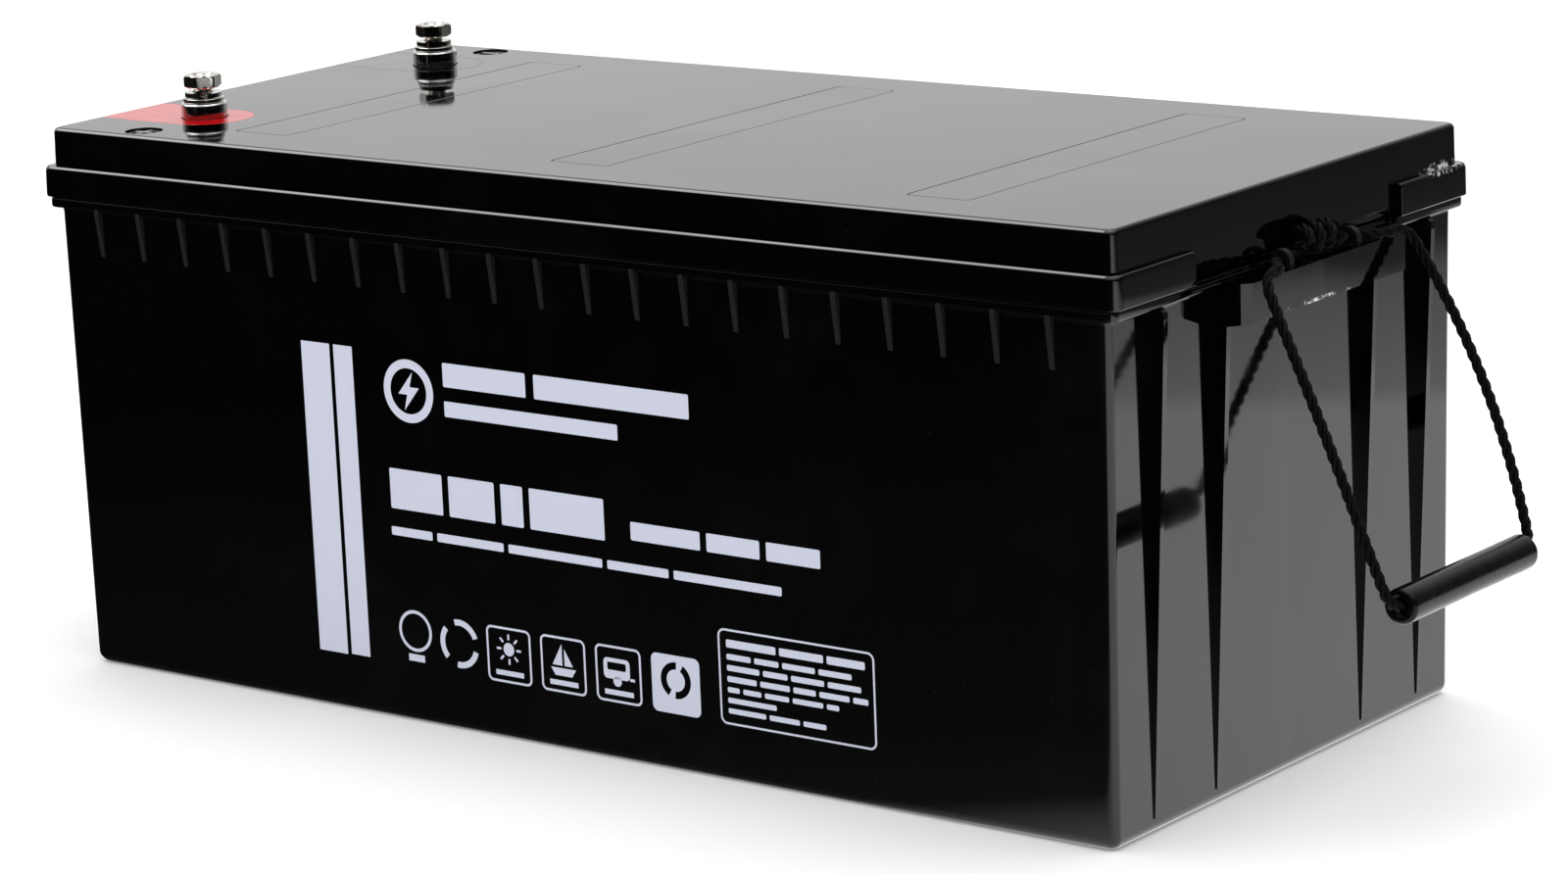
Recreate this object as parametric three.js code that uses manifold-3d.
// Deep cycle battery: a 12 V, 200 Ah class valve-regulated block with two rope handles.
// Millimetres, +Z up. The origin is the middle of the flat base, +X runs along the battery
// away from the terminals, and -Y is the printed front.
import * as THREE from 'three';
import { mergeVertices } from 'three/addons/utils/BufferGeometryUtils.js';
import Module from 'manifold-3d';

const wasm = await Module();
wasm.setup();

// ---------------------------------------------------------------- driving dimensions
const GAP = 0.3;                 // clearance between neighbouring solids

// container
const CASE_L = 493;              // case outside length just under the rim
const CASE_W = 233;
const BASE_L = 490;              // outside length at the foot, after the moulding draft
const BASE_W = 231;
const CASE_R = 4;                // vertical corner radius
const FOOT = 4.5;                // bevel round the foot
const FLOOR = 5;
const PARTITION = 2.5;
const COLUMNS = 3;               // cells along X
const ROWS = 2;                  // cells along Y
const CASE_TOP = 187.5;          // underside of the rim
const RIM_TOP = 191.4;
const RIM_L = 501;
const RIM_W = 238;
const CELL_R = 3;
const BEAD_L = 489;              // epoxy bead between case and lid, on its middle line
const BEAD_W = 231;
const BEAD_T = 3;
const BEAD_H = 1.6;

// lid
const LID_TOP = 219;
const LEDGE = 204;               // top of the lid's flange
const FLANGE_BOTTOM = RIM_TOP + GAP;
const FLANGE_L = 505;
const FLANGE_W = 240;
const BLOCK_L = 499;             // raised part of the lid
const BLOCK_W = 233.5;
const LID_PLATE = 5;
const LID_WALL = 4.2;
const HANDLE_GAP = 139;          // the flange is left out over the handle, along Y
const LID_UNDERCUT = 195.3;      // the lid wall steps in below this, over the handle

// handle ledge on each end
const LEDGE_X = 261;             // outer face: half of the 522 overall length
const LEDGE_HALF = 55;
const HANDLE_SHIFT = 4.5;        // ledge, eyes and knot sit this far off the middle, along Y
const LEDGE_TOP = 189.5;
const LEDGE_LOW_OUT = 175.5;
const LEDGE_LOW_IN = 172.5;
const LEDGE_CORNER = 3;
const LEDGE_SKIN = 3;
const EYE_X = LEDGE_X - 6;       // the two eyes that the rope is threaded through
const EYE_Y = 23;
const EYE_T = 3;
const EYE_R = 4.2;

// ribs
const GUSSETS = 21;
const GUSSET_PITCH = 22.4;
const GUSSET_T = 2.2;
const GUSSET_H = 18.5;
const FIN_YS = [-89.5, -49, 51, 91.5];
const FIN_T = 2.6;
const FIN_HEAD = 252.5;          // the fins' outer edge under the rim
const FIN_FOOT = 12;

// rope handle
const ROPE_D = 4.2;
const SWING_X = 263.5;           // the rope's turning line on the ledge's outer edge
const SWING_Z = LEDGE_TOP + ROPE_D / 2 + GAP;
const SWING_Y = 41;              // half the distance between the two turning points
const LOOP_DROP = 122.8;         // turning line to grip axis
const LEAD = 0.8;                // straight stretch where the loop meets the knotted run
const LOOP_BEND = 8.4;           // bend radius at the ledge and at the grip
const LOOP_BULGE = 54;           // how far the rope bows out to each side
const LOOP_BOW = 3.5;            // and away from the case
const REST_OUT = THREE.MathUtils.degToRad(25);
const GRIP_L = 87;
const GRIP_D = 13;
const GRIP_BORE = ROPE_D + 2 * GAP;
const KNOT = { x: EYE_X + 0.5, length: 29, width: 12, height: 13 };

// terminals and their screws
const TERMINAL_X = -207.9;
const TERMINAL_Y = 70.5;
const POST_D = 18.4;
const POST_TOP = 225;
const NECK_D = 14;               // the post inside the lid
const SHANK_D = 8;               // M8
const THREAD_DEPTH = 17;
const HEAD_AF = 13;
const HEAD_H = 5.3;
const WASHER_D = 16;
const WASHER_H = 1.6;
const SPRING_D = 14.6;
const SPRING_H = 2.1;
const HEAD_GAP = 1.6;            // the screws are left loose for the cable lugs
const HEAD_BASE = POST_TOP + WASHER_H + SPRING_H + 2 * GAP + HEAD_GAP;
const SCREW_TURNS = [-0.17, -0.44];   // how far the positive and negative screws are turned
const SEAL_D = 19;               // rubber ring between post and lid
const SEAL_H = 3;
const SEAL_Z = 208;
const MARK_W = 36;               // coloured resin field round each terminal
const MARK_T = 1.2;
const DISC_X = -207.4;             // round polarity marks beside the terminals
const DISC_Y = 105.9;
const DISC_D = 15;
const DISC_T = 0.8;
const DISC_SEAT = 2;             // depth of the seat sunk in the lid

// vents
const STRIP_XS = [-159, -0.5, 160.5];
const STRIP_L = 182;
const STRIP_W = 26.5;
const STRIP_T = 2;
const POCKET_DEPTH = 12;
const VALVE_Y = 56;
const VALVE_D = 14;
const VALVE_H = 6.5;
const VALVE_NECK_D = 10.8;
const VALVE_NECK_H = 5;
const VALVE_BORE_D = 6;

// cell packs
const CELL_X = 161.3;            // cell pitch along X
const CELL_Y = 113.8;
const PLATE_LOW = 10;
const PLATE_TOP = 160;
const PLATE_W = 98;
const PLATES = 8;                // positive plates in a cell; there is one more negative
const POSITIVE_T = 6;
const NEGATIVE_T = 4.4;
const PLATE_PITCH = 18.4;        // from one positive plate to the next
const MAT_T = 3.2;
const MAT_W = 106;
const MAT_TOP = 164;
const LUG_W = 10;
const STRAP_Z = 168;
const STRAP_H = 8;
const STRAP_W = 16;
const STRAP_Y = 14;              // straps run either side of the cell's middle line
const STRAP_HALF = 76.5;
const LINK_W = 10;

// ---------------------------------------------------------------- materials
const plastic = (color, roughness) => new THREE.MeshStandardMaterial({ color, roughness, metalness: 0 });
const metal = (color, roughness) => new THREE.MeshStandardMaterial({ color, roughness, metalness: 1 });
const LOOK = {
  case: plastic(0x0b0b0d, 0.18),
  lid: plastic(0x0c0c0e, 0.14),
  strip: plastic(0x101013, 0.2),
  red: plastic(0xc01512, 0.3),
  black: plastic(0x08080a, 0.25),
  epoxy: plastic(0x1c1c20, 0.4),
  rubber: plastic(0x161616, 0.75),
  rope: plastic(0x101012, 0.8),
  grip: plastic(0x0d0d0f, 0.35),
  lead: metal(0x7d8086, 0.55),
  steel: metal(0xb9bcc0, 0.28),
  positive: plastic(0x4a2d22, 0.8),
  negative: plastic(0x6b6e72, 0.7),
  mat: plastic(0xe8e6df, 0.95),
};

// ---------------------------------------------------------------- shape helpers
function solid(geometry) {
  const bare = geometry.clone();
  bare.deleteAttribute('normal');
  bare.deleteAttribute('uv');
  const merged = mergeVertices(bare, 1e-4);
  const triVerts = new Uint32Array(merged.index.array);
  const vertProperties = new Float32Array(merged.attributes.position.array);
  return new wasm.Manifold(new wasm.Mesh({ numProp: 3, vertProperties, triVerts }));
}

function geometryOf(body) {
  const mesh = body.getMesh();
  const geometry = new THREE.BufferGeometry();
  geometry.setAttribute('position', new THREE.BufferAttribute(mesh.vertProperties, 3));
  geometry.setIndex(new THREE.BufferAttribute(mesh.triVerts, 1));
  return geometry;
}

const union = (bodies) => bodies.reduce((whole, body) => whole.add(body));
const cut = (body, tools) => tools.reduce((whole, tool) => whole.subtract(tool), body);

function box(x0, x1, y0, y1, z0, z1) {
  const geometry = new THREE.BoxGeometry(x1 - x0, y1 - y0, z1 - z0);
  return solid(geometry.translate((x0 + x1) / 2, (y0 + y1) / 2, (z0 + z1) / 2));
}

function cylinder(x, y, z0, z1, diameter, sides = 24) {
  const geometry = new THREE.CylinderGeometry(diameter / 2, diameter / 2, z1 - z0, sides);
  return solid(geometry.rotateX(Math.PI / 2).translate(x, y, (z0 + z1) / 2));
}

// Corner points of a rectangle with round corners, counter-clockwise.
function roundRect(length, width, radius, steps = 4) {
  const points = [];
  const corners = [[1, -1, -90], [1, 1, 0], [-1, 1, 90], [-1, -1, 180]];
  for (const [sx, sy, start] of corners) {
    for (let i = 0; i <= steps; i += 1) {
      const turn = THREE.MathUtils.degToRad(start + (90 * i) / steps);
      const x = sx * (length / 2 - radius) + radius * Math.cos(turn);
      const y = sy * (width / 2 - radius) + radius * Math.sin(turn);
      points.push(new THREE.Vector2(x, y));
    }
  }
  return points;
}

// A profile drawn for the + side, turned over for the - side.
const mirrored = (profile, side) => profile.map(([a, b]) => [side * a, b]);
const ordered = (a, b) => [Math.min(a, b), Math.max(a, b)];

function slab(points, z0, z1, x = 0, y = 0) {
  const shape = new THREE.Shape(points);
  const geometry = new THREE.ExtrudeGeometry(shape, { depth: z1 - z0, bevelEnabled: false });
  return solid(geometry.translate(x, y, z0));
}

// A closed skin over a stack of rings that all have the same number of points.
function loft(rings) {
  const count = rings[0].points.length;
  const positions = rings.flatMap(({ points, z }) => points.flatMap((p) => [p.x, p.y, z]));
  const index = [];
  for (let r = 0; r + 1 < rings.length; r += 1) {
    for (let i = 0; i < count; i += 1) {
      const a = r * count + i;
      const b = r * count + ((i + 1) % count);
      index.push(a, b, b + count, a, b + count, a + count);
    }
  }
  const top = (rings.length - 1) * count;
  for (const [a, b, c] of THREE.ShapeUtils.triangulateShape(rings[0].points, [])) {
    index.push(c, b, a);
    index.push(top + a, top + b, top + c);
  }
  const geometry = new THREE.BufferGeometry();
  geometry.setAttribute('position', new THREE.Float32BufferAttribute(positions, 3));
  geometry.setIndex(index);
  return solid(geometry);
}

// A flat profile in the plane of two axes, given thickness along the third.
function plateAlongY(profile, y0, y1) {
  const shape = new THREE.Shape(profile.map(([x, z]) => new THREE.Vector2(x, z)));
  const geometry = new THREE.ExtrudeGeometry(shape, { depth: y1 - y0, bevelEnabled: false });
  return solid(geometry.rotateX(Math.PI / 2).translate(0, y1, 0));
}

function plateAlongX(profile, x0, x1) {
  const shape = new THREE.Shape(profile.map(([y, z]) => new THREE.Vector2(y, z)));
  const geometry = new THREE.ExtrudeGeometry(shape, { depth: x1 - x0, bevelEnabled: false });
  return solid(geometry.rotateX(Math.PI / 2).rotateZ(Math.PI / 2).translate(x0, 0, 0));
}

// A profile of [radius, height] turned round the Z axis.
function lathe(profile, segments = 24) {
  const points = profile.map(([r, h]) => new THREE.Vector2(r, h));
  return solid(new THREE.LatheGeometry(points, segments).rotateX(Math.PI / 2));
}

// A round rope or wire that follows a list of points.
function rope(points, diameter, steps, sides = 8) {
  const curve = new THREE.CatmullRomCurve3(points, false, 'centripetal');
  const section = new THREE.Shape();
  section.absarc(0, 0, diameter / 2, 0, Math.PI * 2);
  const options = { steps, extrudePath: curve, curveSegments: sides / 2 };
  return solid(new THREE.ExtrudeGeometry(section, options));
}

const battery = new THREE.Group();
battery.name = 'deep_cycle_battery';

function addPiece(name, geometryOrBody, material) {
  const isBody = geometryOrBody instanceof wasm.Manifold;
  const geometry = isBody ? geometryOf(geometryOrBody) : geometryOrBody;
  const mesh = new THREE.Mesh(geometry, material);
  mesh.name = name;
  battery.add(mesh);
  return mesh;
}

// ---------------------------------------------------------------- cell layout
// Cells run in series: out along the front row, across, and back along the rear row.
const CELLS = [];
for (let i = 0; i < COLUMNS * ROWS; i += 1) {
  const row = i < COLUMNS ? -1 : 1;
  const column = i < COLUMNS ? i : 2 * COLUMNS - 1 - i;
  CELLS.push({
    number: i + 1,
    x: (column - (COLUMNS - 1) / 2) * CELL_X,
    y: (row * CELL_Y) / 2,
    // odd cells have their positive strap on the outer side, even cells on the inner
    positiveY: row * (CELL_Y / 2 + (i % 2 === 0 ? STRAP_Y : -STRAP_Y)),
    negativeY: row * (CELL_Y / 2 + (i % 2 === 0 ? -STRAP_Y : STRAP_Y)),
  });
}
const CELL_IN_L = CELL_X - PARTITION;
const CELL_IN_W = CELL_Y - PARTITION;
const LINKS = CELLS.slice(0, -1).map((cell, i) => {
  const next = CELLS[i + 1];
  return { x: (cell.x + next.x) / 2, y: cell.negativeY, alongY: cell.x === next.x };
});

// ---------------------------------------------------------------- container
function handleLedge(side) {
  const wall = CASE_L / 2 - 2;
  const profile = [
    [wall, LEDGE_LOW_IN], [LEDGE_X, LEDGE_LOW_OUT], [LEDGE_X, LEDGE_TOP - 1.5],
    [LEDGE_X - 1.5, LEDGE_TOP], [wall, LEDGE_TOP],
  ];
  let ledge = plateAlongY(mirrored(profile, side), -LEDGE_HALF, LEDGE_HALF);
  const chipped = [
    [LEDGE_X - LEDGE_CORNER, LEDGE_HALF + 1], [LEDGE_X + 1, LEDGE_HALF + 1],
    [LEDGE_X + 1, LEDGE_HALF - LEDGE_CORNER],
  ];
  for (const end of [-1, 1]) {
    const chip = chipped.map(([x, y]) => new THREE.Vector2(side * x, end * y));
    ledge = ledge.subtract(slab(chip, LEDGE_LOW_IN - 1, LEDGE_TOP + 1));
    // a pocket from below keeps the thick moulding from sinking
    const [x0, x1] = ordered(side * (CASE_L / 2 + 2), side * (LEDGE_X - LEDGE_SKIN));
    const [y0, y1] = ordered(end * LEDGE_SKIN, end * (LEDGE_HALF - 8));
    ledge = ledge.subtract(box(x0, x1, y0, y1, LEDGE_LOW_IN - 1, LEDGE_TOP - LEDGE_SKIN - 1));
  }
  return ledge.translate([0, HANDLE_SHIFT, 0]);
}

function ropeEye(side, end) {
  const outline = [[EYE_X + EYE_R, LEDGE_TOP - 1]];
  const steps = 10;
  for (let i = 0; i <= steps; i += 1) {
    const turn = (Math.PI * i) / steps;
    outline.push([EYE_X + EYE_R * Math.cos(turn), SWING_Z + EYE_R * Math.sin(turn)]);
  }
  outline.push([EYE_X - EYE_R, LEDGE_TOP - 1]);
  const y = HANDLE_SHIFT + end * EYE_Y;
  const plate = plateAlongY(mirrored(outline, side), y - EYE_T / 2, y + EYE_T / 2);
  const radius = ROPE_D / 2 + GAP;
  const hole = new THREE.CylinderGeometry(radius, radius, EYE_T + 2, 16);
  return plate.subtract(solid(hole.translate(side * EYE_X, y, SWING_Z)));
}

function beadRing(clearance, z0, z1) {
  const outside = BEAD_T + 2 * clearance;
  const outer = roundRect(BEAD_L + outside, BEAD_W + outside, CASE_R);
  const inner = roundRect(BEAD_L - outside, BEAD_W - outside, CASE_R - BEAD_T);
  return slab(outer, z0, z1).subtract(slab(inner, z0 - 1, z1 + 1));
}

function endFins(side) {
  const root = 4;
  const profile = [
    [CASE_L / 2 - root, FIN_FOOT], [BASE_L / 2, FIN_FOOT],
    [FIN_HEAD, CASE_TOP - 4], [FIN_HEAD, CASE_TOP - 1.5], [RIM_L / 2, CASE_TOP + 0.5],
    [CASE_L / 2 - root, CASE_TOP + 0.5],
  ];
  return FIN_YS.map((y) => plateAlongY(mirrored(profile, side), y - FIN_T / 2, y + FIN_T / 2));
}

function sideGussets(side) {
  const root = 2;
  const profile = [
    [CASE_W / 2 - root, CASE_TOP - GUSSET_H], [CASE_W / 2 - 0.1, CASE_TOP - GUSSET_H],
    [RIM_W / 2, CASE_TOP - 1], [RIM_W / 2, CASE_TOP + 1], [CASE_W / 2 - root, CASE_TOP + 1],
  ];
  const gussets = [];
  for (let i = 0; i < GUSSETS; i += 1) {
    const x = (i - (GUSSETS - 1) / 2) * GUSSET_PITCH;
    gussets.push(plateAlongX(mirrored(profile, side), x - GUSSET_T / 2, x + GUSSET_T / 2));
  }
  return gussets;
}

function container() {
  const foot = roundRect(BASE_L - 2 * FOOT, BASE_W - 2 * FOOT, CASE_R - 3);
  const base = roundRect(BASE_L, BASE_W, CASE_R);
  const head = roundRect(CASE_L, CASE_W, CASE_R);
  let body = loft([
    { points: foot, z: 0 }, { points: base, z: FOOT }, { points: head, z: CASE_TOP },
    { points: head, z: RIM_TOP },
  ]);
  body = body.add(slab(roundRect(RIM_L, RIM_W, CASE_R), CASE_TOP, RIM_TOP));
  for (const side of [-1, 1]) {
    body = union([body, ...endFins(side), ...sideGussets(side)]);
    // the rim is cut back over the handle so that the rope lies clear of it
    const [x0, x1] = ordered(side * (CASE_L / 2 + 1), side * (RIM_L / 2 + 1));
    body = body.subtract(box(x0, x1, -HANDLE_GAP / 2, HANDLE_GAP / 2, LEDGE_TOP, RIM_TOP + 1));
    body = union([body, handleLedge(side), ropeEye(side, -1), ropeEye(side, 1)]);
  }
  const cellHole = roundRect(CELL_IN_L, CELL_IN_W, CELL_R, 2);
  for (const cell of CELLS) {
    body = body.subtract(slab(cellHole, FLOOR, RIM_TOP + 1, cell.x, cell.y));
  }
  body = body.subtract(beadRing(GAP, RIM_TOP - BEAD_H - GAP, RIM_TOP + 1));
  return cut(body, LINKS.map((link) => linkBar(link, GAP)));
}

// ---------------------------------------------------------------- lid
function markOutline(terminalY, grow) {
  const half = MARK_W / 2 + grow;
  const left = -BLOCK_L / 2 + 2.5 - grow;
  const middle = TERMINAL_X + 2;
  const points = [new THREE.Vector2(left, terminalY - half)];
  const steps = 12;
  for (let i = 0; i <= steps; i += 1) {
    const turn = Math.PI * (i / steps - 0.5);
    points.push(new THREE.Vector2(middle + half * Math.cos(turn), terminalY + half * Math.sin(turn)));
  }
  points.push(new THREE.Vector2(left, terminalY + half));
  return points;
}

function valveSpots() {
  return STRIP_XS.flatMap((x) => [-1, 1].map((side) => ({ x, y: side * VALVE_Y })));
}

function lidShell() {
  const flangeEdge = 0.8;
  const blockEdge = 1.3;
  const half = HANDLE_GAP / 2;
  const flange = roundRect(FLANGE_L, FLANGE_W, CASE_R + 1);
  const flangeTop = roundRect(FLANGE_L - 2 * flangeEdge, FLANGE_W - 2 * flangeEdge, CASE_R);
  let body = loft([
    { points: flange, z: FLANGE_BOTTOM }, { points: flange, z: LEDGE - flangeEdge },
    { points: flangeTop, z: LEDGE },
  ]);
  const block = roundRect(BLOCK_L, BLOCK_W, CASE_R);
  const blockTop = roundRect(BLOCK_L - 2 * blockEdge, BLOCK_W - 2 * blockEdge, CASE_R - 1);
  for (const side of [-1, 1]) {
    const [x0, x1] = ordered(side * (BLOCK_L / 2 - 3), side * (FLANGE_L / 2 + 1));
    body = body.subtract(box(x0, x1, -half, half, FLANGE_BOTTOM - 1, LEDGE + 1));
  }
  body = body.add(loft([
    { points: block, z: FLANGE_BOTTOM }, { points: block, z: LID_TOP - blockEdge },
    { points: blockTop, z: LID_TOP },
  ]));
  for (const side of [-1, 1]) {
    const [x0, x1] = ordered(side * (CASE_L / 2 + GAP), side * (FLANGE_L / 2 + 1));
    body = body.subtract(box(x0, x1, -half, half, FLANGE_BOTTOM - 1, LID_UNDERCUT));
  }
  const hollow = roundRect(BLOCK_L - 2 * LID_WALL, BLOCK_W - 2 * LID_WALL, CASE_R - 2);
  return body.subtract(slab(hollow, FLANGE_BOTTOM - 1, LID_TOP - LID_PLATE));
}

// Ribs that stand over the container's partitions.
function withPartitionRibs(shell) {
  const rib = PARTITION / 2;
  const low = FLANGE_BOTTOM + GAP;
  const top = LID_TOP - LID_PLATE + 1;
  const insideX = BLOCK_L / 2 - LID_WALL + 1;
  const insideY = BLOCK_W / 2 - LID_WALL + 1;
  let body = shell.add(box(-insideX, insideX, -rib, rib, low, top));
  for (const side of [-1, 1]) {
    const x = (side * CELL_X) / 2;
    body = body.add(box(x - rib, x + rib, -insideY, insideY, low, top));
  }
  return body;
}

// Vent channels with their valve necks, under the cover strips.
function withVents(shell) {
  let body = shell;
  const tubFloor = LID_TOP - POCKET_DEPTH;
  const tubTop = LID_TOP - LID_PLATE + 1;
  const tub = roundRect(STRIP_W + 4, STRIP_L + 4, 4, 2);
  const pocket = roundRect(STRIP_W - 4, STRIP_L - 4, 2, 2);
  const seat = roundRect(STRIP_W + 2 * GAP, STRIP_L + 2 * GAP, 2, 2);
  for (const x of STRIP_XS) {
    body = body.add(slab(tub, tubFloor - 3, tubTop, x));
    body = body.subtract(slab(pocket, tubFloor, LID_TOP + 1, x));
    body = body.subtract(slab(seat, LID_TOP - STRIP_T - GAP, LID_TOP + 1, x));
  }
  for (const { x, y } of valveSpots()) {
    body = body.add(cylinder(x, y, tubFloor - 1, tubFloor + VALVE_NECK_H, VALVE_NECK_D));
    body = body.subtract(cylinder(x, y, tubFloor - 4, tubFloor + VALVE_NECK_H + 1, VALVE_BORE_D, 16));
  }
  return body;
}

// Bosses and seats of the terminals, their coloured fields and the polarity discs.
function withTerminalSeats(shell) {
  let body = shell;
  for (const side of [-1, 1]) {
    const y = side * TERMINAL_Y;
    body = body.add(cylinder(TERMINAL_X, y, LID_TOP - 15, LID_TOP - 2, POST_D + 8));
    body = body.subtract(slab(markOutline(y, GAP), LID_TOP - MARK_T - GAP, LID_TOP + 1));
    body = body.subtract(cylinder(TERMINAL_X, y, LID_TOP - 16, LID_TOP + 1, NECK_D + 2 * GAP));
    body = body.subtract(
      cylinder(TERMINAL_X, y, SEAL_Z - GAP, SEAL_Z + SEAL_H + GAP, SEAL_D + 2 * GAP),
    );
    body = body.subtract(cylinder(DISC_X, side * DISC_Y, LID_TOP - DISC_SEAT, LID_TOP + 1, DISC_D));
  }
  return body;
}

const lid = () => withTerminalSeats(withVents(withPartitionRibs(lidShell())));

function stripCover() {
  return slab(roundRect(STRIP_W, STRIP_L, 2, 2), LID_TOP - STRIP_T, LID_TOP);
}

function valveCap() {
  const bore = VALVE_NECK_D / 2 + GAP;
  const outer = VALVE_D / 2;
  const neckTop = VALVE_NECK_H + GAP;
  return lathe([
    [0, neckTop], [bore, neckTop], [bore, GAP], [outer, GAP], [outer, VALVE_H - 0.8],
    [outer - 0.8, VALVE_H], [0, VALVE_H],
  ], 20);
}

function polarityDisc(isPositive) {
  const disc = cylinder(0, 0, 0, DISC_T, DISC_D - 2 * GAP);
  const barLength = 9;
  const barWidth = 2;
  const bar = (l, w) => box(-l / 2, l / 2, -w / 2, w / 2, DISC_T - 0.2, DISC_T + 0.4);
  const minus = disc.add(bar(barLength, barWidth));
  return isPositive ? minus.add(bar(barWidth, barLength)) : minus;
}

// ---------------------------------------------------------------- terminals
function terminalPost() {
  const neck = NECK_D / 2;
  const post = POST_D / 2;
  const bore = SHANK_D / 2 + GAP;
  const low = STRAP_Z + STRAP_H + GAP;
  const collar = LID_TOP - MARK_T;
  return lathe([
    [0, low], [neck, low], [neck, collar], [post, collar], [post, POST_TOP - 0.6],
    [post - 0.6, POST_TOP], [bore, POST_TOP], [bore, POST_TOP - THREAD_DEPTH],
    [0, POST_TOP - THREAD_DEPTH],
  ]);
}

function washer(outer, height) {
  const inner = SHANK_D + 2 * GAP;
  return lathe([
    [inner / 2, 0], [outer / 2, 0], [outer / 2, height], [inner / 2, height], [inner / 2, 0],
  ]);
}

function springWasher() {
  const slit = box(0, SPRING_D, -0.6, 0.6, -1, SPRING_H + 1);
  return washer(SPRING_D, SPRING_H).subtract(slit);
}

function hexScrew() {
  const acrossCorners = (2 * HEAD_AF) / Math.sqrt(3);
  const head = cylinder(0, 0, 0, HEAD_H, acrossCorners, 6);
  const dishFloor = HEAD_H - 0.6;
  const dish = lathe([[0, dishFloor], [3.8, dishFloor], [4.6, HEAD_H + 1], [0, HEAD_H + 1]], 20);
  const tip = POST_TOP - THREAD_DEPTH + 2 - HEAD_BASE;
  const radius = SHANK_D / 2;
  const shank = lathe([[0, tip], [radius - 1, tip], [radius, tip + 1], [radius, 0.5], [0, 0.5]], 20);
  return head.subtract(dish).add(shank);
}

function sealRing() {
  const inner = NECK_D / 2 + GAP;
  const outer = SEAL_D / 2;
  const soft = 0.7;
  return lathe([
    [inner, soft], [inner + soft, 0], [outer - soft, 0], [outer, soft], [outer, SEAL_H - soft],
    [outer - soft, SEAL_H], [inner + soft, SEAL_H], [inner, SEAL_H - soft], [inner, soft],
  ]);
}

function markField(terminalY) {
  const field = slab(markOutline(terminalY, 0), LID_TOP - MARK_T, LID_TOP);
  return field.subtract(cylinder(TERMINAL_X, terminalY, LID_TOP - 3, LID_TOP + 1, POST_D + 2 * GAP));
}

// ---------------------------------------------------------------- cell packs
const plateX = (cell, i, count) => cell.x + (i - (count - 1) / 2) * PLATE_PITCH;

function plateGroup(cell, count, thickness, strapY) {
  const half = thickness / 2;
  const plates = [];
  for (let i = 0; i < count; i += 1) {
    const x = plateX(cell, i, count);
    const low = cell.y - PLATE_W / 2;
    plates.push(box(x - half, x + half, low, low + PLATE_W, PLATE_LOW, PLATE_TOP));
    plates.push(
      box(x - half, x + half, strapY - LUG_W / 2, strapY + LUG_W / 2, PLATE_TOP - 2, STRAP_Z + 1),
    );
  }
  const strap = box(
    cell.x - STRAP_HALF, cell.x + STRAP_HALF,
    strapY - STRAP_W / 2, strapY + STRAP_W / 2, STRAP_Z, STRAP_Z + STRAP_H,
  );
  return union([strap, ...plates]);
}

// One glass-mat sheet on each face of every positive plate, standing in a shared foot.
function separatorMat(cell) {
  const low = FLOOR + GAP;
  const foot = PLATE_LOW - 0.5;
  const reach = POSITIVE_T / 2 + GAP;
  const profile = [];
  for (let i = 0; i < PLATES; i += 1) {
    const x = plateX(cell, i, PLATES);
    for (const start of [x - reach - MAT_T, x + reach]) {
      profile.push([start, foot], [start, MAT_TOP], [start + MAT_T, MAT_TOP], [start + MAT_T, foot]);
    }
  }
  const first = profile[0][0];
  const last = profile[profile.length - 1][0];
  profile[0] = [first, low];
  profile[profile.length - 1] = [last, low];
  return plateAlongY(profile.reverse(), cell.y - MAT_W / 2, cell.y + MAT_W / 2);
}

function linkBar(link, grow) {
  const half = LINK_W / 2 + grow;
  const z0 = STRAP_Z - grow;
  const z1 = STRAP_Z + STRAP_H + grow;
  if (link.alongY) {
    const reach = CELL_Y / 2 - STRAP_Y - STRAP_W / 2 - GAP;
    return box(link.x - half, link.x + half, -reach, reach, z0, z1);
  }
  const reach = CELL_X / 2 - STRAP_HALF - GAP;
  return box(link.x - reach, link.x + reach, link.y - half, link.y + half, z0, z1);
}

// ---------------------------------------------------------------- rope handles
// A point of the loop: along is measured on Y, drop down the loop's plane, bow out of it.
function loopPoint(side, lean, along, drop, bow) {
  const outward = drop * Math.sin(lean) + bow * Math.cos(lean);
  const down = drop * Math.cos(lean) - bow * Math.sin(lean);
  const shift = HANDLE_SHIFT * (1 - drop / LOOP_DROP);
  return new THREE.Vector3(side * (SWING_X + outward), along + shift, SWING_Z - down);
}

// Half of the loop from the ledge to the middle of the grip, on the +Y side.
function halfLoop() {
  const start = SWING_Y + GAP + LEAD;
  const enter = GRIP_L / 2 - 1.5;
  const points = [[start - LEAD, 0], [start, 0]];
  const bends = 4;
  for (let i = 1; i <= bends; i += 1) {
    const turn = (Math.PI / 2) * (i / bends);
    points.push([start + LOOP_BEND * Math.sin(turn), LOOP_BEND * (1 - Math.cos(turn))]);
  }
  const strandTop = LOOP_BEND;
  const strandLow = LOOP_DROP - LOOP_BEND;
  const stations = 7;
  for (let i = 1; i < stations; i += 1) {
    const share = i / stations;
    const straight = THREE.MathUtils.lerp(start + LOOP_BEND, enter + LOOP_BEND, share);
    const bulge = (LOOP_BULGE - straight) * Math.sin(Math.PI * share) ** 0.8;
    points.push([straight + bulge, THREE.MathUtils.lerp(strandTop, strandLow, share)]);
  }
  for (let i = 0; i <= bends; i += 1) {
    const turn = (Math.PI / 2) * (i / bends);
    points.push([enter + LOOP_BEND * Math.cos(turn), strandLow + LOOP_BEND * Math.sin(turn)]);
  }
  points.push([enter / 2, LOOP_DROP]);
  return points;
}

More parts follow.
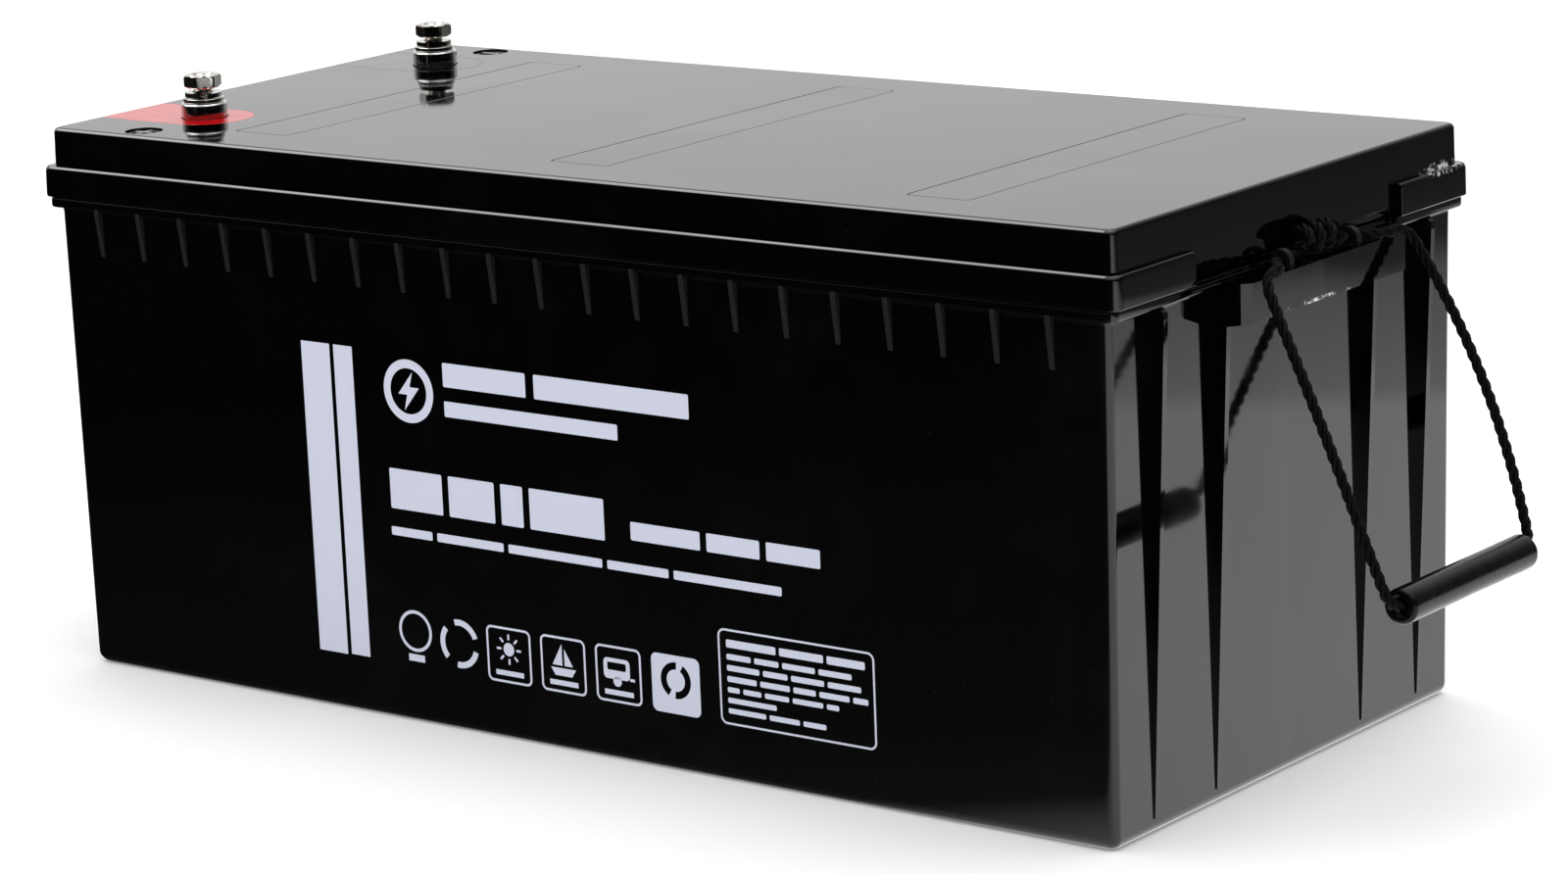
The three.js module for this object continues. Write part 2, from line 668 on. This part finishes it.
function ropeLoop(side, lean) {
  const bowAt = (drop) => LOOP_BOW * Math.sin(Math.PI * Math.min(1, drop / LOOP_DROP));
  const half = halfLoop();
  const front = half.map(([along, drop]) => loopPoint(side, lean, -along, drop, bowAt(drop)));
  const back = half.map(([along, drop]) => loopPoint(side, lean, along, drop, bowAt(drop)));
  return rope([...front, ...back.reverse()], ROPE_D, 48);
}

// The part that stays on the ledge: through both eyes, tied in the middle.
function knottedRun(side) {
  const straightTo = EYE_Y + EYE_T / 2 + 1;
  const steps = 6;
  const half = [[0, EYE_X], [straightTo, EYE_X]];
  for (let i = 1; i <= steps; i += 1) {
    const share = i / steps;
    const ease = (1 - Math.cos(Math.PI * share)) / 2;
    half.push([
      THREE.MathUtils.lerp(straightTo, SWING_Y - LEAD, share),
      THREE.MathUtils.lerp(EYE_X, SWING_X, ease),
    ]);
  }
  half.push([SWING_Y, SWING_X]);
  const back = half.map(([y, x]) => new THREE.Vector3(side * x, y, SWING_Z));
  const front = half.slice(1).map(([y, x]) => new THREE.Vector3(side * x, -y, SWING_Z));
  const run = rope([...front.reverse(), ...back], ROPE_D, 26);
  const ball = new THREE.SphereGeometry(0.5, 14, 8);
  ball.scale(KNOT.width, KNOT.length, KNOT.height);
  ball.translate(side * KNOT.x, 0, LEDGE_TOP + GAP + KNOT.height / 2);
  return run.add(solid(ball)).translate([0, HANDLE_SHIFT, 0]);
}

function grip() {
  const outer = GRIP_D / 2;
  const half = GRIP_L / 2;
  const bore = GRIP_BORE / 2;
  const round = 2;
  const flare = 1.2;
  const profile = [
    [bore, -half + 3], [bore + flare, -half], [outer - round, -half], [outer - 0.6, -half + 0.6],
    [outer, -half + round], [outer, half - round], [outer - 0.6, half - 0.6], [outer - round, half],
    [bore + flare, half], [bore, half - 3], [bore, -half + 3],
  ];
  const points = profile.map(([r, h]) => new THREE.Vector2(r, h));
  return new THREE.LatheGeometry(points, 20);
}

// ---------------------------------------------------------------- assembly
addPiece('container', container(), LOOK.case);
addPiece('lid', lid(), LOOK.lid);
addPiece('lid_epoxy_bead', beadRing(0, RIM_TOP - BEAD_H, RIM_TOP), LOOK.epoxy);

STRIP_XS.forEach((x, i) => {
  addPiece(`vent_cover_strip_${i + 1}`, stripCover(), LOOK.strip).position.x = x;
});
valveSpots().forEach(({ x, y }, i) => {
  addPiece(`valve_cap_${i + 1}`, valveCap(), LOOK.rubber).position.set(x, y, LID_TOP - POCKET_DEPTH);
});

for (const cell of CELLS) {
  const positive = plateGroup(cell, PLATES, POSITIVE_T, cell.positiveY);
  const negative = plateGroup(cell, PLATES + 1, NEGATIVE_T, cell.negativeY);
  addPiece(`cell_${cell.number}_positive_plates`, positive, LOOK.positive);
  addPiece(`cell_${cell.number}_negative_plates`, negative, LOOK.negative);
  addPiece(`cell_${cell.number}_glass_mat`, separatorMat(cell), LOOK.mat);
}
LINKS.forEach((link, i) => {
  addPiece(`cell_link_${i + 1}_to_${i + 2}`, linkBar(link, 0), LOOK.lead);
});

for (const [sign, side] of [['positive', -1], ['negative', 1]]) {
  const y = side * TERMINAL_Y;
  const isPositive = sign === 'positive';
  addPiece(`${sign}_terminal_post`, terminalPost(), LOOK.lead).position.set(TERMINAL_X, y, 0);
  addPiece(`${sign}_post_seal`, sealRing(), LOOK.rubber).position.set(TERMINAL_X, y, SEAL_Z);
  addPiece(`${sign}_marking_field`, markField(y), isPositive ? LOOK.red : LOOK.black);
  const disc = addPiece(`${sign}_polarity_disc`, polarityDisc(isPositive), LOOK.black);
  disc.position.set(DISC_X, side * DISC_Y, LID_TOP - DISC_SEAT + GAP);
  const flat = addPiece(`${sign}_flat_washer`, washer(WASHER_D, WASHER_H), LOOK.steel);
  flat.position.set(TERMINAL_X, y, POST_TOP + GAP);
  const spring = addPiece(`${sign}_spring_washer`, springWasher(), LOOK.steel);
  spring.position.set(TERMINAL_X, y, POST_TOP + WASHER_H + 2 * GAP);
  const screw = addPiece(`${sign}_terminal_screw`, hexScrew(), LOOK.steel);
  screw.position.set(TERMINAL_X, y, HEAD_BASE);
  screw.rotation.z = SCREW_TURNS[side < 0 ? 0 : 1];
}

for (const [end, side, lean] of [['right', 1, REST_OUT], ['left', -1, 0]]) {
  addPiece(`${end}_rope_loop`, ropeLoop(side, lean), LOOK.rope);
  addPiece(`${end}_rope_knot`, knottedRun(side), LOOK.rope);
  const handle = addPiece(`${end}_grip`, grip(), LOOK.grip);
  handle.position.copy(loopPoint(side, lean, 0, LOOP_DROP, 0));
}

export default battery;
